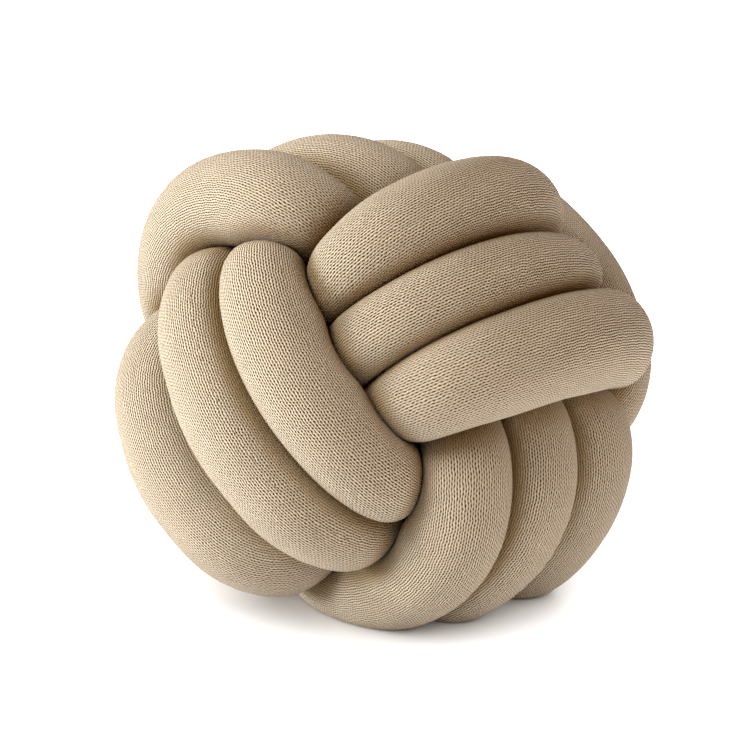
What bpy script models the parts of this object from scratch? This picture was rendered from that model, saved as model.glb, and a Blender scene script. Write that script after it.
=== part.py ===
"""Knot cushion: one long knitted tube, stuffed, and wound into a ball knot.

The tube goes round the ball in three bands of three turns, each band in a plane of its own. On two
opposite faces of the ball a band lies outside; on the two faces beside them it dives under the next
band. Both ends of the tube are tucked into the middle. The whole cushion is one filled solid: each
section of the tube is round where it is free, and pressed flat halfway to its neighbours, so the
turns bear on each other with only a hair of room between them. The ball stands on z = 0 with a small
flat spot where it rests; -Y is the side that the photograph shows, +X is to its right.
"""
import bpy
import numpy as np
from mathutils.bvhtree import BVHTree

MM = 0.001

# ---- the tube
TUBE_R = 26.5 * MM         # radius of the stuffed tube where nothing presses on it
HAIR = 0.8 * MM            # room left between two turns that bear on each other
PRESS = 12.0               # how sharply a section turns from round to pressed
FILL = 0.97                # share of the round section's area that a pressed one keeps
SWELL = (0.97, 1.13)       # least and most that the free radius changes to keep that area
END_TAPER = 30.0 * MM      # length over which each tucked end closes
END_RADIUS = 0.35          # what is left of the radius at the very end

# ---- the knot
FACE_R = 120.0 * MM        # ball's middle to the tube's centre line on a face
UNDER_R = 80.0 * MM        # the same where a band goes under the next one
FACE_PITCH = 49.0 * MM     # from turn to turn of a band on a face
UNDER_PITCH = 40.0 * MM    # from turn to turn where they go under
CORNER = 6.0               # how squarely a turn goes from its face down to its underpass
STEP_ASIDE = (195.0, 295.0)    # degrees of each round in which the tube moves on to the next turn
FIRST_ANGLE = -60.0        # degrees at which a band starts, from the middle of its first face
LAST_ANGLE = (985.0, 940.0, 940.0)     # degrees at which each band ends
BAND_POINTS = 400          # points along a band
PULL = 85.0 * MM           # how straight the tube leaves a band for the middle of the ball
ROUNDING = 8.0 * MM        # length over which the stuffing rounds the tube's bends
BRIDGE_POINTS = 60         # points from the end of one band to the start of the next
LAST_END = 22              # the tube's last end is this many of them past the third band, and its
FIRST_END = 40             # first end starts at this one of those that lead back to the first band
NEAREST = 34.0 * MM        # least distance between the centre lines of two hidden runs
HIDDEN_R = (95.0 * MM, 112.0 * MM)   # runs this deep move freely, runs this far out not at all
OWN_RUN = 75.0 * MM        # length of the tube on either side of a point that it doesn't press on
EASE_STEP = 8.0 * MM       # spacing of the points that are pushed apart
EASE_ROUNDS = 40           # rounds of pushing, each halfway towards the distance wanted
EASE_SMOOTHING = 12        # times that each round's push is averaged along the tube

# ---- how it lies
TURN = (-51.0, -1.0, -132.0)   # degrees about X, Y and Z that lay the knot as photographed
SLUMP = 0.94               # height left when the ball sags under its own weight
SINK = 16.5 * MM           # how far the lowest turn would sink into the floor if the ball kept its shape
FLAT_DEPTH = 9.0 * MM      # how far the floor pushes the turns in before it lifts them
GIVE = 3.0 * MM            # how softly a turn starts to lift off the floor
FLAT_EDGE = 2.0 * MM       # height over which the flat spot's rim is rounded
SLIDE = (-1.8 * MM, -0.5 * MM)  # brings the middle of the ball's outline over the origin

# ---- the mesh
FINE_STEP = 1.5 * MM       # spacing of the path's own points
NEAR_STEP = 4.5 * MM       # spacing of the points that a section is pressed against
SAME_POINT = 5.3 * MM      # points nearer than this to a ring's middle are its own
RING_STEP = (7.0 * MM, 18.0 * MM)  # ring spacing in the tightest bends and along straight runs
RINGS_PER_BEND = 0.42      # ring spacing as a share of the bend's radius
SIDES = 14                 # corners of a ring
DRAW_IN = 0.03             # share of its radius by which a corner is drawn in where turns would cut

# ---- where this knot strays from a regular one, as seen in the photograph
# band 0 shows on the left face, band 1 below right and at the top, band 2 on the upper right face.
# quarter: quarter turns from the band's start; odd ones are faces, even ones underpasses.
# out_mm moves the tube away from the ball's middle, aside_mm across towards the band's third turn.
STRAYS = (
    # band, quarter, out_mm, aside_mm
    (0, 1, 1, -14),        # outer left turn
    (0, 2, 6, 0),
    (0, 4, 0, 10),
    (0, 5, 0, 10),         # middle left turn
    (0, 8, 0, 10),
    (0, 9, 0, 1),          # inner left turn
    (0, 10, -15, 0),
    (0, 11, 9, 16),        # the same band, seen past the right edge
    (1, 0, -10, 0),
    (1, 1, 5, 14),         # far turn below right
    (1, 2, -5, 0),
    (1, 3, -33, 26),       # far turn at the top
    (1, 4, -14, 0),
    (1, 5, -2, 18),        # middle turn below right
    (1, 7, -4, 24),        # middle turn at the top
    (1, 8, -28, 0),
    (1, 10, 0, 18),
    (1, 11, 14, 18),       # plump near turn at the top left
    (1, 12, -55, -30),
    (2, 0, -10, 0),
    (2, 1, 3, 4),          # top turn of the upper right face
    (2, 2, 0, 12),
    (2, 4, -26, 10),
    (2, 5, -5, 0),
    (2, 8, 8, 5),
    (2, 9, 5, -9),         # bottom turn of the upper right face
    (2, 10, 0, -8),
    (2, 11, -10, 0),
)


def ease(t):
    """0 to 1 with a level start and end."""
    t = np.clip(t, 0, 1)
    return t * t * (3 - 2 * t)


def unit(v):
    return v / np.linalg.norm(v, axis=-1, keepdims=True)


def through(values, at):
    """A smooth curve through evenly spaced values, read at the places in at."""
    i = np.clip(np.floor(at).astype(int), 0, len(values) - 2)
    f = at - i
    padded = np.r_[values[0], values, values[-1]]
    before, here, after, beyond = padded[i], padded[i + 1], padded[i + 2], padded[i + 3]
    bend = 2 * before - 5 * here + 4 * after - beyond
    turn = 3 * here - before - 3 * after + beyond
    return 0.5 * (2 * here + (after - before) * f + bend * f ** 2 + turn * f ** 3)


def band_line(band):
    """Centre line of a band's three turns, in the knot's own axes.

    At angle a round the band the line is the distance r(a) from the middle of the ball: a soft least
    of FACE_R and UNDER_R / |sin a|, so it is outside on the faces at 0 and 180 degrees and lower at
    90 and 270. It lies row * pitch to the side, row going from -1 to 1 in two steps.
    """
    degrees = np.linspace(FIRST_ANGLE, LAST_ANGLE[band], BAND_POINTS)
    angle = np.radians(degrees)
    start, end = STEP_ASIDE
    row = -1 + sum(ease((degrees - start - turn * 360) / (end - start)) for turn in (0, 1))
    under = UNDER_R / np.maximum(np.abs(np.sin(angle)), 1e-6)
    radius = (FACE_R ** -CORNER + under ** -CORNER) ** (-1 / CORNER)
    pitch = UNDER_PITCH + (FACE_PITCH - UNDER_PITCH) * np.abs(np.cos(angle)) ** 1.5
    out, aside = np.zeros(13), np.zeros(13)
    for which, quarter, out_mm, aside_mm in STRAYS:
        if which == band:
            out[quarter] = out_mm * MM
            aside[quarter] = aside_mm * MM
    quarters = (degrees + 90) / 90
    radius = radius + through(out, quarters)
    across = row * pitch + through(aside, quarters)
    level = np.sqrt(np.maximum(radius ** 2 - across ** 2, 1e-9))
    local = np.stack([level * np.cos(angle), level * np.sin(angle), across], 1)
    return np.roll(local, band, axis=1)


def bridge(before, after):
    """From the end of one band through the middle of the ball to the start of the next."""
    t = np.linspace(0, 1, BRIDGE_POINTS)[:, None]
    leave = unit(before[-1] - before[-2]) * PULL
    arrive = unit(after[1] - after[0]) * PULL
    return ((2 * t ** 3 - 3 * t ** 2 + 1) * before[-1] + (t ** 3 - 2 * t ** 2 + t) * leave
            + (3 * t ** 2 - 2 * t ** 3) * after[0] + (t ** 3 - t ** 2) * arrive)


def run_of(line):
    """Length along a line at each of its points."""
    return np.r_[0, np.cumsum(np.linalg.norm(np.diff(line, axis=0), axis=1))]


def read_at(line, places):
    run = run_of(line)
    return np.stack([np.interp(places, run, line[:, i]) for i in range(3)], 1)


def even(line, step):
    length = run_of(line)[-1]
    return read_at(line, np.linspace(0, length, int(round(length / step)) + 1))


def rounded(line):
    """A line's bends rounded by a bell-shaped average ROUNDING long."""
    spread = ROUNDING / FINE_STEP
    reach = int(3 * spread)
    bell = np.exp(-np.arange(-reach, reach + 1) ** 2 / (2 * spread ** 2))
    bell /= bell.sum()
    longer = np.concatenate([2 * line[0] - line[reach:0:-1], line,
                             2 * line[-1] - line[-2:-reach - 2:-1]])
    return np.stack([np.convolve(longer[:, i], bell, "valid") for i in range(3)], 1)


def eased_apart(line):
    """Hidden runs of the tube pushed apart until none is much nearer another than NEAREST."""
    line = even(line, EASE_STEP)
    place = np.arange(len(line)) * EASE_STEP
    own = np.abs(place[:, None] - place) < OWN_RUN
    for _ in range(EASE_ROUNDS):
        apart = line[:, None] - line
        gap = np.maximum(np.linalg.norm(apart, axis=2), 0.1 * MM)
        short = np.where(own, 0, np.maximum(NEAREST - gap, 0))
        push = np.sum(apart * (short / gap)[:, :, None], 1)
        push /= np.maximum(np.sum(short > 0, 1), 1)[:, None]
        free = ease((HIDDEN_R[1] - np.linalg.norm(line, axis=1)) / (HIDDEN_R[1] - HIDDEN_R[0]))
        push *= free[:, None]
        for _ in range(EASE_SMOOTHING):
            push[1:-1] = (push[:-2] + 2 * push[1:-1] + push[2:]) / 4
        line = line + push / 2
    return line


def laid_down(line):
    """Turn the knot as it lies, let it sag, and set it on the floor, which lifts its lowest turns."""
    x, y, z = np.radians(TURN)
    about_x = np.array([[1, 0, 0], [0, np.cos(x), -np.sin(x)], [0, np.sin(x), np.cos(x)]])
    about_y = np.array([[np.cos(y), 0, np.sin(y)], [0, 1, 0], [-np.sin(y), 0, np.cos(y)]])
    about_z = np.array([[np.cos(z), -np.sin(z), 0], [np.sin(z), np.cos(z), 0], [0, 0, 1]])
    line = line @ (about_z @ about_y @ about_x).T
    line = line * np.array([1, 1, SLUMP])
    line = line + np.array([*SLIDE, TUBE_R - SINK - line[:, 2].min()])
    lowest = TUBE_R - FLAT_DEPTH
    line[:, 2] = lowest + GIVE * np.logaddexp(0, (line[:, 2] - lowest) / GIVE)
    return line


def tube_line():
    """The whole tube's centre line, from one tucked end to the other."""
    bands = [band_line(k) for k in range(3)]
    back = bridge(bands[2], bands[0])
    line = np.concatenate([
        back[FIRST_END:-1],
        bands[0], bridge(bands[0], bands[1])[1:-1],
        bands[1], bridge(bands[1], bands[2])[1:-1],
        bands[2], back[1:LAST_END],
    ])
    line = eased_apart(rounded(even(line, FINE_STEP)))
    return laid_down(rounded(even(line, FINE_STEP)))


def ring_places(line):
    """Places of the rings along the line, closer together where it bends more."""
    run = run_of(line)
    ahead = unit(np.gradient(line, axis=0))
    bend = np.linalg.norm(np.gradient(ahead, axis=0), axis=1) / (run[-1] / (len(line) - 1))
    step = np.clip(RINGS_PER_BEND / np.maximum(bend, 1e-6), *RING_STEP)
    count = np.r_[0, np.cumsum(np.diff(run) / step[1:])]
    return np.interp(np.linspace(0, count[-1], int(round(count[-1])) + 1), count, run)


def ring_axes(line, places):
    """Points of the line and two directions square to it that never twist about it."""
    run = run_of(line)
    ahead_all = unit(np.gradient(line, axis=0))
    across_all = np.empty_like(line)
    across_all[0] = unit(np.cross(ahead_all[0], (0, 0, 1)))
    for i in range(1, len(line)):
        last = across_all[i - 1]
        across_all[i] = unit(last - (last @ ahead_all[i]) * ahead_all[i])
    centre = read_at(line, places)
    ahead, across = (unit(np.stack([np.interp(places, run, v[:, i]) for i in range(3)], 1))
                     for v in (ahead_all, across_all))
    across = unit(across - np.sum(across * ahead, 1)[:, None] * ahead)
    return centre, across, np.cross(ahead, across)


def room_about(centre, ways, others):
    """Distance from each ring's middle, along each of its ways, to the plane halfway to the nearest
    other point of the tube. Points next along the tube count too: they keep a bend from creasing
    through itself."""
    apart = others[None] - centre[:, None]
    squared = np.sum(apart ** 2, 2)
    along = np.einsum("cox,cwx->cwo", apart, ways)
    counts = (squared > SAME_POINT ** 2)[:, None] & (along > 1e-6)
    halfway = np.where(counts, squared[:, None] / (2 * np.maximum(along, 1e-6)), 1.0)
    return np.maximum(halfway.min(2) - HAIR / 2, MM)


def pressed(free, room):
    """The smaller of the free radius and the room, with a soft change between them."""
    return (free[:, None] ** -PRESS + room ** -PRESS) ** (-1 / PRESS)


def tube_rings(line):
    """Corner points of every ring of the pressed tube."""
    places = ring_places(line)
    centre, across, up = ring_axes(line, places)
    angle = np.linspace(0, 2 * np.pi, SIDES, endpoint=False)[:, None]
    ways = np.cos(angle) * across[:, None] + np.sin(angle) * up[:, None]
    room = room_about(centre, ways, even(line, NEAR_STEP))
    free = np.full(len(places), TUBE_R)
    for _ in range(3):
        area = np.mean(pressed(free, room) ** 2, 1)
        free = free * np.sqrt(FILL * TUBE_R ** 2 / area)
        free = np.clip(free, TUBE_R * SWELL[0], TUBE_R * SWELL[1])
        free = np.convolve(np.r_[free[0], free, free[-1]], (0.25, 0.5, 0.25), "valid")
    to_end = np.minimum(places, places[-1] - places) / END_TAPER
    taper = np.maximum(np.sqrt(1 - (1 - np.clip(to_end, 0, 1)) ** 2), END_RADIUS)
    radius = pressed(free, room) * taper[:, None]
    rings = centre[:, None] + radius[:, :, None] * ways
    height = rings[:, :, 2]
    rim = (height + FLAT_EDGE) ** 2 / (4 * FLAT_EDGE)
    rings[:, :, 2] = np.where(height > FLAT_EDGE, height, np.where(height > -FLAT_EDGE, rim, 0))
    return rings, centre


def tube_faces(ring_count):
    """Triangles between neighbouring rings, split evenly, and a fan over each end."""
    ring, side = np.meshgrid(np.arange(ring_count - 1), np.arange(SIDES), indexing="ij")
    a = (ring * SIDES + side).ravel()
    b = (ring * SIDES + (side + 1) % SIDES).ravel()
    c, d = b + SIDES, a + SIDES
    odd = ((ring + side) % 2 == 1).ravel()
    first = np.stack([a, b, np.where(odd, c, d)], 1)
    second = np.stack([np.where(odd, a, b), c, d], 1)
    start, end = ring_count * SIDES, ring_count * SIDES + 1
    last = (ring_count - 1) * SIDES
    fans = [(start, (i + 1) % SIDES, i) for i in range(SIDES)]
    fans += [(end, last + i, last + (i + 1) % SIDES) for i in range(SIDES)]
    return np.concatenate([first, second]).tolist() + fans


def clear_of_itself(points, faces, centre):
    """The flat triangles of two turns can cut into each other where the pressed surface between the
    turns curves. Corners of such triangles are drawn in towards the middle of their ring until none
    do."""
    middle = np.concatenate([np.repeat(centre, SIDES, axis=0), centre[[0, -1]]])
    for _ in range(20):
        tree = BVHTree.FromPolygons(points.tolist(), faces)
        cut = {i for i, j in tree.overlap(tree) if not set(faces[i]) & set(faces[j])}
        if not cut:
            break
        moved = sorted({corner for i in cut for corner in faces[i]})
        drawn_in = middle[moved] + (points[moved] - middle[moved]) * (1 - DRAW_IN)
        drawn_in[points[moved, 2] == 0, 2] = 0
        points[moved] = drawn_in
    return points


def knit():
    material = bpy.data.materials.new("beige_knit")
    material.use_nodes = True
    shader = material.node_tree.nodes["Principled BSDF"]
    shader.inputs["Base Color"].default_value = (0.60, 0.49, 0.36, 1)
    shader.inputs["Roughness"].default_value = 0.9
    shader.inputs["Metallic"].default_value = 0
    return material


for old in list(bpy.data.objects):
    bpy.data.objects.remove(old)

rings, centre = tube_rings(tube_line())
points = np.concatenate([rings.reshape(-1, 3), centre[[0, -1]]])
faces = tube_faces(len(rings))
points = clear_of_itself(points, faces, centre)
mesh = bpy.data.meshes.new("knotted_tube")
mesh.from_pydata(points.tolist(), [], faces)
mesh.materials.append(knit())
cushion = bpy.data.objects.new("knotted_tube", mesh)
collection = bpy.data.collections.new("knot_cushion")
bpy.context.scene.collection.children.link(collection)
collection.objects.link(cushion)
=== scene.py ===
"""Knot cushion: a fine jersey tube, stuffed and wound into a ball knot, on a white floor.

The tube's centre line follows the same rule and the same named sizes as the solid that it replaces.
Round it, a finer skin is pressed against its neighbours, and the knit's stitches follow the skin.
Lengths are in metres: a named size in millimetres is multiplied by MM.
"""

import bpy
import numpy as np
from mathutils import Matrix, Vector


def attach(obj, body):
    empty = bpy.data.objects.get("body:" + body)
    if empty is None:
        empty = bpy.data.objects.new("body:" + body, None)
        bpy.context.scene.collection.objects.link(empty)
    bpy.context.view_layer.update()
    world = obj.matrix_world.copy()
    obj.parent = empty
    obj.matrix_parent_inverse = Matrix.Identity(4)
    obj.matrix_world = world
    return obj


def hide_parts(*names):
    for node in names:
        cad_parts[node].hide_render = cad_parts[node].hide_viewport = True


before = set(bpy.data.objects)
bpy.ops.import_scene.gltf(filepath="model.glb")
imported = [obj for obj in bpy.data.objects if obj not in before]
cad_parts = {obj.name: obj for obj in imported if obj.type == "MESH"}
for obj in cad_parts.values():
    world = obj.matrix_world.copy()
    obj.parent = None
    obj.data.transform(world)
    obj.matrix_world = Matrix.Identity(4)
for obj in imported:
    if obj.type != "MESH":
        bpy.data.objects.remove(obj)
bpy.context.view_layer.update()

MM = 0.001
TINY = 1e-9                # least value of what is divided by, or of a square under its root

# ---- the tube
TUBE_R = 26.5 * MM         # radius of the stuffed tube where nothing presses on it
HAIR = 0.5 * MM            # room left between two turns that bear on each other
PRESS = 6.0                # how sharply a section turns from round to pressed
BEARING = 1.05             # share of the room that the soft change aims at: it stops at the room, flat
SOFT_EDGE = (4, 3)         # corners of a ring, and rings, over which the cloth rounds a pressed edge
FILL = 0.97                # share of the round section's area that a pressed one keeps
SWELL = (0.97, 1.13)       # least and most that the free radius changes to keep that area
SWELL_ROUNDS = 3           # rounds in which the free radius is found
SWELL_RINGS = 3            # rings on either side over which it is evened out
END_TAPER = 30.0 * MM      # length over which each tucked end closes
END_RADIUS = 0.35          # share of the radius that is left at the very end

# ---- the knot
FACE_R = 120.0 * MM        # ball's middle to the tube's centre line on a face
UNDER_R = 80.0 * MM        # the same where a band goes under the next one
FACE_PITCH = 49.0 * MM     # from turn to turn of a band on a face
UNDER_PITCH = 40.0 * MM    # from turn to turn where they go under
PITCH_CHANGE = 1.5         # how soon the pitch narrows on the way from a face to its underpass
CORNER = 6.0               # how squarely a turn goes from its face down to its underpass
STEP_ASIDE = (195.0, 295.0)    # degrees of each round in which the tube moves on to the next turn
FIRST_ANGLE = -60.0        # degrees at which a band starts, from the middle of its first face
LAST_ANGLE = (985.0, 940.0, 940.0)     # degrees at which each band ends
QUARTERS = 13              # quarter turns in a band's three rounds, with both ends
BAND_POINTS = 400          # points along a band
PULL = 85.0 * MM           # how straight the tube leaves a band for the middle of the ball
ROUNDING = 8.0 * MM        # length over which the stuffing rounds the tube's bends
BRIDGE_POINTS = 60         # points from the end of one band to the start of the next
LAST_END = 22              # the tube's last end is this many of them past the third band, and its
FIRST_END = 40             # first end starts at this one of those that lead back to the first band
NEAREST = 34.0 * MM        # least distance between the centre lines of two hidden runs
TOUCHING = 0.1 * MM        # the distance that two points count as apart if they are nearer
HIDDEN_R = (95.0 * MM, 112.0 * MM)   # runs this deep move freely, runs this far out not at all
OWN_RUN = 75.0 * MM        # length of the tube on either side of a point that it doesn't press on
EASE_STEP = 8.0 * MM       # spacing of the points that are pushed apart
EASE_ROUNDS = 40           # rounds of pushing, each halfway towards the distance wanted
EASE_SMOOTHING = 12        # times that each round's push is averaged along the tube

# ---- how it lies
TURN = (-51.0, -1.0, -132.0)   # degrees about X, Y and Z that lay the knot as photographed
SLUMP = 0.94               # height left when the ball sags under its own weight
SINK = 16.5 * MM           # how far the lowest turn would sink in if the floor didn't lift it
FLAT_DEPTH = 9.0 * MM      # how far the floor pushes the turns in before it lifts them
GIVE = 3.0 * MM            # how softly a turn starts to lift off the floor
FLAT_EDGE = 2.0 * MM       # height over which the flat spot's rim is rounded
SLIDE = (-1.8 * MM, -0.5 * MM)  # brings the middle of the ball's outline over the origin

# ---- the skin's mesh
FINE_STEP = 1.5 * MM       # spacing of the path's own points
NEAR_STEP = 4.5 * MM       # spacing of the points that a section is pressed against
SAME_POINT = 5.3 * MM      # points nearer than this to a ring's middle are its own
NEAR_POINTS = 120          # how many of the nearest points can press on a ring
NOTHING_NEAR = 1.0         # metres of room where no turn is in the way
RING_STEP = (2.4 * MM, 3.4 * MM)   # ring spacing in the tightest bends and along straight runs
RINGS_PER_BEND = 0.07      # ring spacing as a share of the bend's radius
SIDES = 48                 # corners of a ring
FAN_COURSES = 4            # rows of stitches from a closed end's rim to its middle
BAKE_STRIPS = 6            # strips that the tube is cut into on its map for baked pictures
BAKE_EDGE = 0.01           # empty rim at either end of a strip, as a share of its length
BAKE_GAP = 0.03            # and at either side, as a share of its width

# ---- the knit
WALES = 68                 # columns of stitches round the tube: 2.4 mm each on a 166 mm girth
COURSE = 1.5 * MM          # height of a row of stitches
RELIEF = 0.8 * MM          # from the top of a stitch to the bottom of the gap beside it
FURROWS = 0.52             # share of that relief which is furrows along the tube,
GAPS = 0.36                # the gaps between stitches,
GROOVES = 0.12             # and the grooves between one leg of a stitch and the next
WANDER = (0.7, 1.0)        # stitches by which a column and a row stray from their even places
WANDER_RATE = 0.45         # how often to a stitch they stray
GAP_SLOPE = (0.2, 0.95)    # how far down the slope round a gap it starts, and is at its deepest
SLACK_PATCH = 22.2 * MM    # size of the stretches that are knitted tighter or looser
SLACK = (0.5, 1.1)         # how open the gaps are in the tightest and the loosest stretches
NOISE = (0.3, 0.7)         # between which most of a noise's values lie
NAP = 0.12 * MM            # height of the yarn's short fibres
NAP_GRAIN = 2 / 3 * MM     # their spacing, coarser than real so that it shows
NAP_TONE = (0.83, 1.16)    # brightness of the darkest and the lightest fibres
SHADED = (0.20, 0.76)      # shares of the relief at which the gaps' painted shade starts, and is darkest
HOLLOW = (0.62, 0.98)      # how near the next turn is, from where a turn's crown starts to go down
                           # (0.62 of the way to it) to where it bears on it
CLOSED = 0.5               # how much of the gaps shows down there

# ---- the studio
FLOOR_SIZE = 40.0          # metres across
CAMERA_PLACE = (-0.0018, -1.1596, 0.4406)  # 1.2 m from the ball's middle and 15 degrees above it
CAMERA_AIM = (-0.0068, -0.0036, 0.1183)
LENS = 104.7               # millimetres, on a film 36 wide
FILM_WIDTH = 36.0
CAMERA_REACH = 60.0        # metres

# ---- where this knot strays from a regular one, as seen in the photograph
# Band 0 shows on the left face, band 1 below right and at the top, band 2 on the upper right face.
# quarter counts quarter turns from 90 degrees before the band's first face: odd ones are faces, even
# ones underpasses. out_mm moves the tube away from the ball's middle, aside_mm across, towards the
# band's third turn.
STRAYS = (
    # band, quarter, out_mm, aside_mm
    (0, 1, 1, -14),        # outer left turn
    (0, 2, 6, 0),
    (0, 4, 0, 10),
    (0, 5, 0, 10),         # middle left turn
    (0, 8, 0, 10),
    (0, 9, 0, 1),          # inner left turn
    (0, 10, -15, 0),
    (0, 11, 9, 16),        # the same band, seen past the right edge
    (1, 0, -10, 0),
    (1, 1, 5, 14),         # far turn below right
    (1, 2, -5, 0),
    (1, 3, -33, 26),       # far turn at the top
    (1, 4, -14, 0),
    (1, 5, -2, 18),        # middle turn below right
    (1, 7, -4, 24),        # middle turn at the top
    (1, 8, -28, 0),
    (1, 10, 0, 18),
    (1, 11, 14, 18),       # plump near turn at the top left
    (1, 12, -55, -30),
    (2, 0, -10, 0),
    (2, 1, 3, 4),          # top turn of the upper right face
    (2, 2, 0, 12),
    (2, 4, -26, 10),
    (2, 5, -5, 0),
    (2, 8, 8, 5),
    (2, 9, 5, -9),         # bottom turn of the upper right face
    (2, 10, 0, -8),
    (2, 11, -10, 0),
)


def ease(t):
    """0 to 1 with a level start and end."""
    t = np.clip(t, 0, 1)
    return t * t * (3 - 2 * t)


def unit(v):
    """Directions of the vectors v, each with length 1."""
    return v / np.linalg.norm(v, axis=-1, keepdims=True)


def through(values, at):
    """A smooth curve through evenly spaced values, read at the places in at: between two values it is
    the cubic whose slope at each is half the step from the value before it to the one after."""
    i = np.clip(np.floor(at).astype(int), 0, len(values) - 2)
    f = at - i
    padded = np.r_[values[0], values, values[-1]]
    before, here, after, beyond = padded[i], padded[i + 1], padded[i + 2], padded[i + 3]
    bend = 2 * before - 5 * here + 4 * after - beyond
    turn = 3 * here - before - 3 * after + beyond
    return 0.5 * (2 * here + (after - before) * f + bend * f ** 2 + turn * f ** 3)


def band_line(band):
    """Centre line of a band's three turns, in the knot's own axes.

    At angle a round the band the line is the distance r(a) from the middle of the ball: a soft least
    of FACE_R and UNDER_R / |sin a|, so it is outside on the faces at 0 and 180 degrees and lower at
    90 and 270. It lies row * pitch to the side, row going from -1 to 1 in two steps. The strays are
    added to both, along a smooth curve from quarter to quarter.
    """
    degrees = np.linspace(FIRST_ANGLE, LAST_ANGLE[band], BAND_POINTS)
    angle = np.radians(degrees)
    start, end = STEP_ASIDE
    row = -1 + sum(ease((degrees - start - turn * 360) / (end - start)) for turn in (0, 1))
    under = UNDER_R / np.maximum(np.abs(np.sin(angle)), TINY)
    radius = (FACE_R ** -CORNER + under ** -CORNER) ** (-1 / CORNER)
    pitch = UNDER_PITCH + (FACE_PITCH - UNDER_PITCH) * np.abs(np.cos(angle)) ** PITCH_CHANGE
    out, aside = np.zeros(QUARTERS), np.zeros(QUARTERS)
    for which, quarter, out_mm, aside_mm in STRAYS:
        if which == band:
            out[quarter] = out_mm * MM
            aside[quarter] = aside_mm * MM
    quarters = (degrees + 90) / 90
    radius = radius + through(out, quarters)
    across = row * pitch + through(aside, quarters)
    level = np.sqrt(np.maximum(radius ** 2 - across ** 2, TINY))
    local = np.stack([level * np.cos(angle), level * np.sin(angle), across], 1)
    return np.roll(local, band, axis=1)


def bridge(before, after):
    """From the end of one band through the middle of the ball to the start of the next: the cubic that
    leaves the one and meets the other in their own directions, with the strength PULL."""
    t = np.linspace(0, 1, BRIDGE_POINTS)[:, None]
    leave = unit(before[-1] - before[-2]) * PULL
    arrive = unit(after[1] - after[0]) * PULL
    return ((2 * t ** 3 - 3 * t ** 2 + 1) * before[-1] + (t ** 3 - 2 * t ** 2 + t) * leave
            + (3 * t ** 2 - 2 * t ** 3) * after[0] + (t ** 3 - t ** 2) * arrive)


def run_of(line):
    """Length along a line at each of its points."""
    return np.r_[0, np.cumsum(np.linalg.norm(np.diff(line, axis=0), axis=1))]


def read_at(line, places):
    """Points of a line at the lengths in places."""
    run = run_of(line)
    return np.stack([np.interp(places, run, line[:, i]) for i in range(3)], 1)


def even(line, step):
    """A line with its points evenly spaced, about step apart."""
    length = run_of(line)[-1]
    return read_at(line, np.linspace(0, length, int(round(length / step)) + 1))


def rounded(line):
    """A line's bends rounded by a bell-shaped average with the standard deviation ROUNDING. Past each
    end the line goes on turned half round about it, so the ends stay where they are."""
    width = ROUNDING / FINE_STEP
    reach = int(3 * width)
    bell = np.exp(-np.arange(-reach, reach + 1) ** 2 / (2 * width ** 2))
    bell /= bell.sum()
    longer = np.concatenate([2 * line[0] - line[reach:0:-1], line,
                             2 * line[-1] - line[-2:-reach - 2:-1]])
    return np.stack([np.convolve(longer[:, i], bell, "valid") for i in range(3)], 1)


def eased_apart(line):
    """Hidden runs of the tube pushed apart until none is much nearer another than NEAREST. In each
    round a point moves half the mean push of the points that are nearer, each of which pushes it
    straight away from itself by what is missing."""
    line = even(line, EASE_STEP)
    place = np.arange(len(line)) * EASE_STEP
    own = np.abs(place[:, None] - place) < OWN_RUN
    for _ in range(EASE_ROUNDS):
        apart = line[:, None] - line
        gap = np.maximum(np.linalg.norm(apart, axis=2), TOUCHING)
        short = np.where(own, 0, np.maximum(NEAREST - gap, 0))
        push = np.sum(apart * (short / gap)[:, :, None], 1)
        push /= np.maximum(np.sum(short > 0, 1), 1)[:, None]
        free = ease((HIDDEN_R[1] - np.linalg.norm(line, axis=1)) / (HIDDEN_R[1] - HIDDEN_R[0]))
        push *= free[:, None]
        for _ in range(EASE_SMOOTHING):
            push[1:-1] = (push[:-2] + 2 * push[1:-1] + push[2:]) / 4
        line = line + push / 2
    return line


def laid_down(line):
    """The knot turned as it lies, sagged to SLUMP of its height, and set on the floor, which lifts its
    lowest turns: height h becomes lowest + GIVE * log(1 + exp((h - lowest) / GIVE))."""
    x, y, z = np.radians(TURN)
    about_x = np.array([[1, 0, 0], [0, np.cos(x), -np.sin(x)], [0, np.sin(x), np.cos(x)]])
    about_y = np.array([[np.cos(y), 0, np.sin(y)], [0, 1, 0], [-np.sin(y), 0, np.cos(y)]])
    about_z = np.array([[np.cos(z), -np.sin(z), 0], [np.sin(z), np.cos(z), 0], [0, 0, 1]])
    line = line @ (about_z @ about_y @ about_x).T
    line = line * np.array([1, 1, SLUMP])
    line = line + np.array([*SLIDE, TUBE_R - SINK - line[:, 2].min()])
    lowest = TUBE_R - FLAT_DEPTH
    line[:, 2] = lowest + GIVE * np.logaddexp(0, (line[:, 2] - lowest) / GIVE)
    return line


def tube_line():
    """The whole tube's centre line, from one tucked end to the other."""
    bands = [band_line(k) for k in range(3)]
    back = bridge(bands[2], bands[0])
    line = np.concatenate([
        back[FIRST_END:-1],
        bands[0], bridge(bands[0], bands[1])[1:-1],
        bands[1], bridge(bands[1], bands[2])[1:-1],
        bands[2], back[1:LAST_END],
    ])
    line = eased_apart(rounded(even(line, FINE_STEP)))
    return laid_down(rounded(even(line, FINE_STEP)))


def ring_places(line):
    """Places of the rings along the line: their spacing is RINGS_PER_BEND times the bend's radius,
    within RING_STEP."""
    run = run_of(line)
    ahead = unit(np.gradient(line, axis=0))
    bend = np.linalg.norm(np.gradient(ahead, axis=0), axis=1) / (run[-1] / (len(line) - 1))
    step = np.clip(RINGS_PER_BEND / np.maximum(bend, TINY), *RING_STEP)
    count = np.r_[0, np.cumsum(np.diff(run) / step[1:])]
    return np.interp(np.linspace(0, count[-1], int(round(count[-1])) + 1), count, run)


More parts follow.
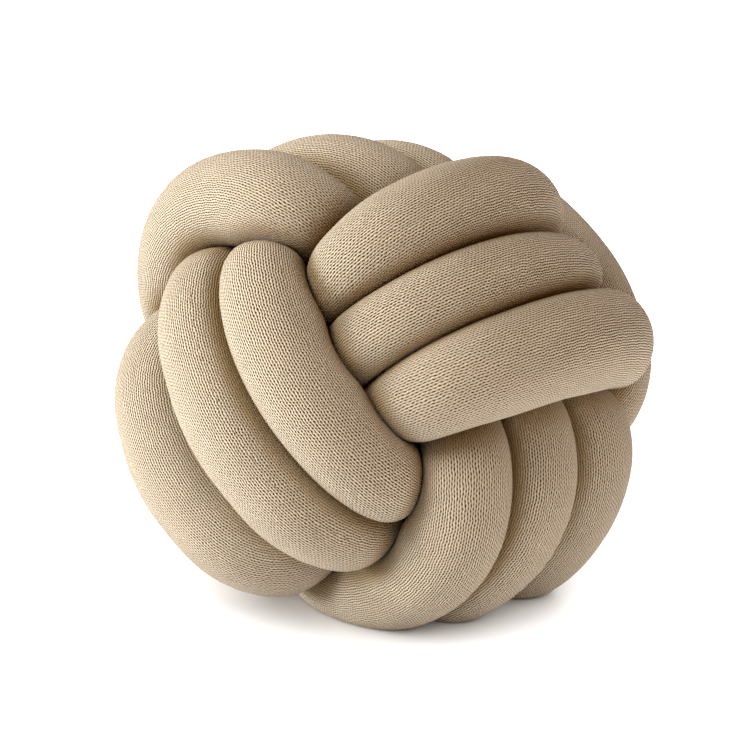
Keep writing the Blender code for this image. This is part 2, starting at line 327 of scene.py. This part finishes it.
def ring_axes(line, places):
    """Points of the line and two directions square to it that never twist about it: the first is
    carried from each point to the next with what runs along the line taken out."""
    run = run_of(line)
    ahead_all = unit(np.gradient(line, axis=0))
    across_all = np.empty_like(line)
    across_all[0] = unit(np.cross(ahead_all[0], (0, 0, 1)))
    for i in range(1, len(line)):
        last = across_all[i - 1]
        across_all[i] = unit(last - (last @ ahead_all[i]) * ahead_all[i])
    centre = read_at(line, places)
    ahead, across = (unit(np.stack([np.interp(places, run, v[:, i]) for i in range(3)], 1))
                     for v in (ahead_all, across_all))
    across = unit(across - np.sum(across * ahead, 1)[:, None] * ahead)
    return centre, across, np.cross(ahead, across)


def room_about(centre, ways, others):
    """Room from each ring's middle along each of its ways w: the least of p.p / (2 p.w), which reaches
    the plane halfway to p, over the tube's other points p as seen from there, less half of HAIR.
    Points next along the tube count too: they keep a bend from creasing through itself."""
    gap = np.linalg.norm(others[None] - centre[:, None], axis=2)
    nearest = np.argpartition(gap, NEAR_POINTS, axis=1)[:, :NEAR_POINTS]
    apart = others[nearest] - centre[:, None]
    squared = np.sum(apart ** 2, 2)
    along = np.einsum("cox,cwx->cwo", apart, ways)
    counts = (squared > SAME_POINT ** 2)[:, None] & (along > TINY)
    halfway = np.where(counts, squared[:, None] / (2 * np.maximum(along, TINY)), NOTHING_NEAR)
    return np.maximum(halfway.min(2) - HAIR / 2, MM)


def pressed(free, room):
    """The smaller of the free radius and the room, as (free^-PRESS + bearing^-PRESS)^(-1/PRESS) with
    bearing = room * BEARING, a soft change between them that ends where the turns bear on each other."""
    soft = (free[:, None] ** -PRESS + (room * BEARING) ** -PRESS) ** (-1 / PRESS)
    return np.minimum(soft, room)


def cloth_over(radius, room):
    """Radii averaged with their neighbours round the ring and along the tube, and still within the
    room: the cloth is too tight to reach into a corner where three turns meet."""
    for axis, reach, mode in ((1, SOFT_EDGE[0], "wrap"), (0, SOFT_EDGE[1], "edge")):
        bell = np.hanning(2 * reach + 3)[1:-1]
        margin = [(0, 0), (0, 0)]
        margin[axis] = (reach, reach)
        wider = np.pad(radius, margin, mode)
        count = radius.shape[axis]
        shifted = (np.take(wider, range(i, i + count), axis) for i in range(len(bell)))
        radius = sum(share * part for share, part in zip(bell, shifted)) / bell.sum()
    return np.minimum(radius, room)


def tube_rings(line):
    """Corner points of every ring of the pressed tube, its middle, its place along the tube, and how
    near the next turn each corner is: 1 where it bears on it, near 0 on an open crown.

    A corner is its ring's middle + radius * (cos a * across + sin a * up). The free radius is the one
    that gives the pressed section FILL of the round one's area.
    """
    places = ring_places(line)
    centre, across, up = ring_axes(line, places)
    angle = np.linspace(0, 2 * np.pi, SIDES, endpoint=False)[:, None]
    ways = np.cos(angle) * across[:, None] + np.sin(angle) * up[:, None]
    room = room_about(centre, ways, even(line, NEAR_STEP))
    free = np.full(len(places), TUBE_R)
    bell = np.hanning(2 * SWELL_RINGS + 1)
    for _ in range(SWELL_ROUNDS):
        area = np.mean(pressed(free, room) ** 2, 1)
        free = free * np.sqrt(FILL * TUBE_R ** 2 / area)
        free = np.clip(free, TUBE_R * SWELL[0], TUBE_R * SWELL[1])
        free = np.convolve(np.pad(free, SWELL_RINGS, "edge"), bell / bell.sum(), "valid")
    # the tucked ends close as half an ellipse
    to_end = np.minimum(places, places[-1] - places) / END_TAPER
    taper = np.maximum(np.sqrt(1 - (1 - np.clip(to_end, 0, 1)) ** 2), END_RADIUS)
    radius = cloth_over(pressed(free, room), room)
    nearness = radius / room
    rings = centre[:, None] + (radius * taper[:, None])[:, :, None] * ways
    # flat on the floor, with a parabola from there up to the free skin
    height = rings[:, :, 2]
    rim = (height + FLAT_EDGE) ** 2 / (4 * FLAT_EDGE)
    rings[:, :, 2] = np.where(height > FLAT_EDGE, height, np.where(height > -FLAT_EDGE, rim, 0))
    return rings, centre, places, nearness


def add_map(mesh, name, uv):
    """A flat map of a mesh, with a place for each corner of each face in turn."""
    layer = mesh.uv_layers.new(name=name)
    layer.uv.foreach_set("vector", uv.astype(np.float32).ravel())


def even_strips(stitch_uv, middle, corners, length):
    """The tube cut across into strips that lie above each other in a square: along a strip is along the
    tube, and up it is once round. middle is each face's place along the tube."""
    strip = np.minimum(np.floor(middle / length * BAKE_STRIPS), BAKE_STRIPS - 1)
    strip = np.repeat(strip, corners)
    run = stitch_uv[:, 1] * COURSE / length * BAKE_STRIPS - strip
    run = (run + BAKE_EDGE) / (1 + 2 * BAKE_EDGE)
    girth = stitch_uv[:, 0] / WALES
    return np.stack([BAKE_EDGE + (1 - 2 * BAKE_EDGE) * run,
                     (strip + BAKE_GAP + (1 - 2 * BAKE_GAP) * girth) / BAKE_STRIPS], 1)


def stuffed_tube():
    """The skin: quads between neighbouring rings and a fan over each end. Its map "stitches" counts
    wales round the tube and courses along it, its map "OFBake" lays the tube out in even strips, and
    its map "hollows" holds how near the next turn is."""
    rings, centre, places, nearness = tube_rings(tube_line())
    count = len(rings)
    ring, side = np.meshgrid(np.arange(count - 1), np.arange(SIDES), indexing="ij")
    ring, side = ring.ravel(), side.ravel()
    after = (side + 1) % SIDES
    quads = np.stack([ring * SIDES + side, ring * SIDES + after,
                      (ring + 1) * SIDES + after, (ring + 1) * SIDES + side], 1)
    points = np.concatenate([rings.reshape(-1, 3), centre[[0, -1]]])
    start, end = len(points) - 2, len(points) - 1
    last = (count - 1) * SIDES
    around = np.arange(SIDES)
    following = (around + 1) % SIDES
    fans = np.concatenate([np.stack([np.full(SIDES, start), following, around], 1),
                           np.stack([np.full(SIDES, end), last + around, last + following], 1)])
    mesh = bpy.data.meshes.new("stuffed_knit_tube")
    mesh.from_pydata(points.tolist(), [], quads.tolist() + fans.tolist())

    # stitches: a fan's middle has no side of its own, so it lies halfway along each face's side
    courses = places / COURSE
    wale = WALES / SIDES
    quad_u = np.stack([side, side + 1, side + 1, side], 1) * wale
    quad_v = courses[np.stack([ring, ring, ring + 1, ring + 1], 1)]
    fan_u = np.concatenate([np.stack([around + 0.5, around + 1, around], 1),
                            np.stack([around + 0.5, around, around + 1], 1)]) * wale
    first_v = [-FAN_COURSES, 0, 0]
    last_v = [courses[-1] + FAN_COURSES, courses[-1], courses[-1]]
    fan_v = np.repeat([first_v, last_v], SIDES, axis=0)
    stitch_uv = np.concatenate([np.stack([quad_u, quad_v], 2).reshape(-1, 2),
                                np.stack([fan_u, fan_v], 2).reshape(-1, 2)])
    add_map(mesh, "stitches", stitch_uv)

    # strips: the fans go with the first and the last ring
    middle = np.concatenate([(places[ring] + places[ring + 1]) / 2,
                             np.zeros(SIDES), np.full(SIDES, places[-1])])
    corners = [4] * len(quads) + [3] * len(fans)
    add_map(mesh, "OFBake", even_strips(stitch_uv, middle, corners, places[-1]))

    # hollows: both ends are tucked in, so their fans are as deep as can be
    near = np.stack([nearness[ring, side], nearness[ring, after],
                     nearness[ring + 1, after], nearness[ring + 1, side]], 1).ravel()
    near = np.concatenate([near, np.ones(fans.size)])
    add_map(mesh, "hollows", np.stack([near, near], 1))

    mesh.uv_layers["stitches"].active = True
    mesh.shade_smooth()
    tube = bpy.data.objects.new("stuffed_knit_tube", mesh)
    bpy.context.scene.collection.objects.link(tube)
    return tube


# ---- materials
def linear(hex_colour):
    """An sRGB hex colour as linear red, green, blue and alpha."""
    value = np.array([int(hex_colour[i:i + 2], 16) for i in (1, 3, 5)]) / 255
    value = np.where(value <= 0.04045, value / 12.92, ((value + 0.055) / 1.055) ** 2.4)
    return (*value.tolist(), 1.0)


def add(tree, kind, inputs=(), **settings):
    """Adds a node, with its settings and with each input set to a value or linked from a socket."""
    node = tree.nodes.new(kind)
    for name, value in settings.items():
        setattr(node, name, value)
    for name, value in dict(inputs).items():
        if isinstance(value, bpy.types.NodeSocket):
            tree.links.new(value, node.inputs[name])
        else:
            node.inputs[name].default_value = value
    return node


def new_material(name):
    material = bpy.data.materials.new(name)
    material.use_nodes = True
    tree = material.node_tree
    return material, tree, tree.nodes["Principled BSDF"]


def cotton_jersey():
    """Fine cotton jersey, knitted as a tube and washed. Each wale is a column of V stitches, which
    stands up as two ribs, the legs of its Vs, with a furrow between them and one beside them. The
    legs lean outwards, so a leg runs along course - |wale| = half, and a small long gap shows between
    the Vs at the middle of a wale and, half a course on, between two wales."""
    material, tree, shader = new_material("beige_cotton_jersey")

    def maths(operation, *values):
        inputs = {i: value for i, value in enumerate(values)}
        return add(tree, "ShaderNodeMath", inputs, operation=operation).outputs[0]

    def spread(value, low, high, to_low, to_high, how="LINEAR"):
        inputs = {"Value": value, "From Min": low, "From Max": high,
                  "To Min": to_low, "To Max": to_high}
        return add(tree, "ShaderNodeMapRange", inputs, interpolation_type=how).outputs["Result"]

    def wave(turns):
        """A cosine's rise and fall, from 1 through 0 back to 1, once for each turn."""
        return maths("MULTIPLY_ADD", maths("COSINE", maths("MULTIPLY", turns, 2 * np.pi)), 0.5, 0.5)

    at = add(tree, "ShaderNodeTexCoord").outputs["Object"]
    stitches = add(tree, "ShaderNodeUVMap", uv_map="stitches").outputs["UV"]
    split = add(tree, "ShaderNodeSeparateXYZ", {"Vector": stitches})
    # stitches wander a little: no two are quite alike
    sway = add(tree, "ShaderNodeTexNoise",
               {"Vector": stitches, "Scale": WANDER_RATE, "Detail": 3.0})
    swayed = add(tree, "ShaderNodeSeparateColor", {"Color": sway.outputs["Color"]})
    wale = maths("MULTIPLY_ADD", swayed.outputs["Red"], WANDER[0], split.outputs["X"])
    course = maths("MULTIPLY_ADD", swayed.outputs["Green"], WANDER[1], split.outputs["Y"])

    # furrows along the tube, two to a wale
    furrow = wave(maths("MULTIPLY", wale, 2.0))
    # slanting grooves between one V leg and the next
    groove = wave(maths("SUBTRACT", course, maths("PINGPONG", wale, 0.5)))
    # small dark gaps, longer along the tube than they are wide, in staggered rows
    across = maths("COSINE", maths("MULTIPLY", wale, 2 * np.pi))
    along = maths("COSINE", maths("MULTIPLY", course, 2 * np.pi))
    staggered = maths("MULTIPLY_ADD", maths("MULTIPLY", along, maths("SIGN", across)), 0.5, 0.5)
    gap = maths("MULTIPLY", maths("MULTIPLY", across, across), staggered)
    gap = spread(gap, *GAP_SLOPE, 0.0, 1.0, "SMOOTHSTEP")
    # some stretches are knitted or pulled tighter than others
    slack = add(tree, "ShaderNodeTexNoise", {"Vector": at, "Scale": 1 / SLACK_PATCH, "Detail": 2.0})
    gap = maths("MULTIPLY", gap, spread(slack.outputs["Fac"], *NOISE, *SLACK))
    depth = maths("ADD", maths("MULTIPLY", furrow, FURROWS),
                  maths("ADD", maths("MULTIPLY", gap, GAPS), maths("MULTIPLY", groove, GROOVES)))
    # the gaps close where the knit goes down between two turns, and open where a turn bulges out
    hollows = add(tree, "ShaderNodeUVMap", uv_map="hollows").outputs["UV"]
    near = add(tree, "ShaderNodeSeparateXYZ", {"Vector": hollows}).outputs["X"]
    opened = spread(near, *HOLLOW, 1.0, CLOSED, "SMOOTHSTEP")
    # painted shade in the gaps between stitches: how strongly each place is painted dark
    painted_gap_shade = maths("MULTIPLY", spread(depth, *SHADED, 0.0, 1.0, "SMOOTHSTEP"), opened)

    # the nap of the yarn: short fibres, some lighter and some darker
    nap = add(tree, "ShaderNodeTexNoise", {"Vector": at, "Scale": 1 / NAP_GRAIN, "Detail": 2.0})
    tone = spread(nap.outputs["Fac"], *NOISE, *NAP_TONE)
    # painted shade: where a turn goes down towards the next, the cloth is painted a dim golden brown,
    # standing in for the dim light there that has passed through yarn
    painted_hollow_shade = spread(near, *HOLLOW, 0.0, 0.95, "SMOOTHSTEP")
    cloth = add(tree, "ShaderNodeMix",
                {"Factor": painted_hollow_shade, "A": linear("#AEA18D"), "B": linear("#7A6138")}, data_type="RGBA")
    # painted shade: down in the gaps the yarn is painted a dark warm brown, the shade that falls in them
    yarn = add(tree, "ShaderNodeMix",
               {"Factor": painted_gap_shade, "A": cloth.outputs["Result"], "B": linear("#34230F")},
               data_type="RGBA")
    # painted shade: the gaps' colour is made richer, so that their shade looks browner, not greyer
    richer = spread(painted_gap_shade, 0.0, 1.0, 1.0, 1.7)
    tinted = add(tree, "ShaderNodeHueSaturation",
                 {"Color": yarn.outputs["Result"], "Saturation": richer, "Value": tone})

    height = maths("MULTIPLY_ADD", depth, -1.0, 1.0)
    knit_bump = add(tree, "ShaderNodeBump", {"Height": height, "Distance": RELIEF, "Strength": 1.0})
    nap_bump = add(tree, "ShaderNodeBump", {"Height": nap.outputs["Fac"], "Distance": NAP,
                                            "Strength": 0.6, "Normal": knit_bump.outputs["Normal"]})
    tree.links.new(tinted.outputs["Color"], shader.inputs["Base Color"])
    tree.links.new(nap_bump.outputs["Normal"], shader.inputs["Normal"])
    # washed cotton is matt, and its fibres catch a pale light at the edges but not in the gaps
    tree.links.new(spread(painted_gap_shade, 0.0, 0.8, 0.4, 0.05), shader.inputs["Sheen Weight"])
    shader.inputs["Sheen Roughness"].default_value = 0.5
    shader.inputs["Sheen Tint"].default_value = linear("#F6EBDA")
    shader.inputs["Roughness"].default_value = 0.92
    shader.inputs["Specular IOR Level"].default_value = 0.2
    return material


def white_floor():
    """A studio floor of matt white paint, with hardly a gloss."""
    material, _, shader = new_material("matt_white_paint")
    shader.inputs["Base Color"].default_value = linear("#F6F6F6")
    shader.inputs["Roughness"].default_value = 0.9
    shader.inputs["Specular IOR Level"].default_value = 0.1
    return material


# ---- the scene
def lay_floor():
    """A flat square, FLOOR_SIZE across, at the height that the cushion rests on."""
    edge = FLOOR_SIZE / 2
    corners = [(-edge, -edge, 0), (edge, -edge, 0), (edge, edge, 0), (-edge, edge, 0)]
    mesh = bpy.data.meshes.new("floor")
    mesh.from_pydata(corners, [], [(0, 1, 2, 3)])
    mesh.materials.append(white_floor())
    floor = bpy.data.objects.new("floor", mesh)
    bpy.context.scene.collection.objects.link(floor)
    return floor


def set_camera():
    """The photograph's view: a little above, with a long lens."""
    data = bpy.data.cameras.new("camera")
    data.lens = LENS
    data.sensor_width = FILM_WIDTH
    data.clip_end = CAMERA_REACH
    camera = bpy.data.objects.new("camera", data)
    camera.location = CAMERA_PLACE
    towards = Vector(CAMERA_AIM) - Vector(CAMERA_PLACE)
    camera.rotation_euler = towards.to_track_quat("-Z", "Y").to_euler()
    bpy.context.scene.collection.objects.link(camera)
    bpy.context.scene.camera = camera


def soft_light(name, energy, colour, width, towards, lit):
    """A soft light from far off, width degrees across in the sky, that shines towards a direction and
    falls on one thing alone."""
    data = bpy.data.lights.new(name, "SUN")
    data.energy = energy
    data.color = linear(colour)[:3]
    data.angle = np.radians(width)
    light = bpy.data.objects.new(name, data)
    light.rotation_euler = Vector(towards).to_track_quat("-Z", "Y").to_euler()
    bpy.context.scene.collection.objects.link(light)
    receivers = bpy.data.collections.new("lit_by_" + name)
    receivers.objects.link(lit)
    light.light_linking.receiver_collection = receivers


def set_light(tube, floor):
    """Soft windows high and low to the left, a warm glow from the right, an evenly lit floor, and a
    pale room."""
    # name, strength in watts to a square metre, colour, width, direction, what it lights
    soft_light("high_window", 4.7, "#FFFFFF", 30, (0.60, 0.20, -0.75), tube)
    soft_light("low_window", 7.0, "#FFFFFF", 30, (0.95, 0.00, -0.08), tube)
    soft_light("warm_wall", 0.8, "#FFBC72", 60, (-0.70, 0.60, -0.30), tube)
    soft_light("floor_light", 9.2, "#FCFDFF", 140, (0.20, 0.00, -1.00), floor)
    world = bpy.data.worlds.new("pale_room")
    world.use_nodes = True
    room = world.node_tree.nodes["Background"]
    room.inputs["Color"].default_value = linear("#FFCE8E")
    room.inputs["Strength"].default_value = 0.12
    bpy.context.scene.world = world
    bpy.context.scene.view_settings.view_transform = "Standard"


tube = stuffed_tube()
tube.data.materials.append(cotton_jersey())
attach(tube, "root")
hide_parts("knotted_tube")

floor = lay_floor()
set_camera()
set_light(tube, floor)
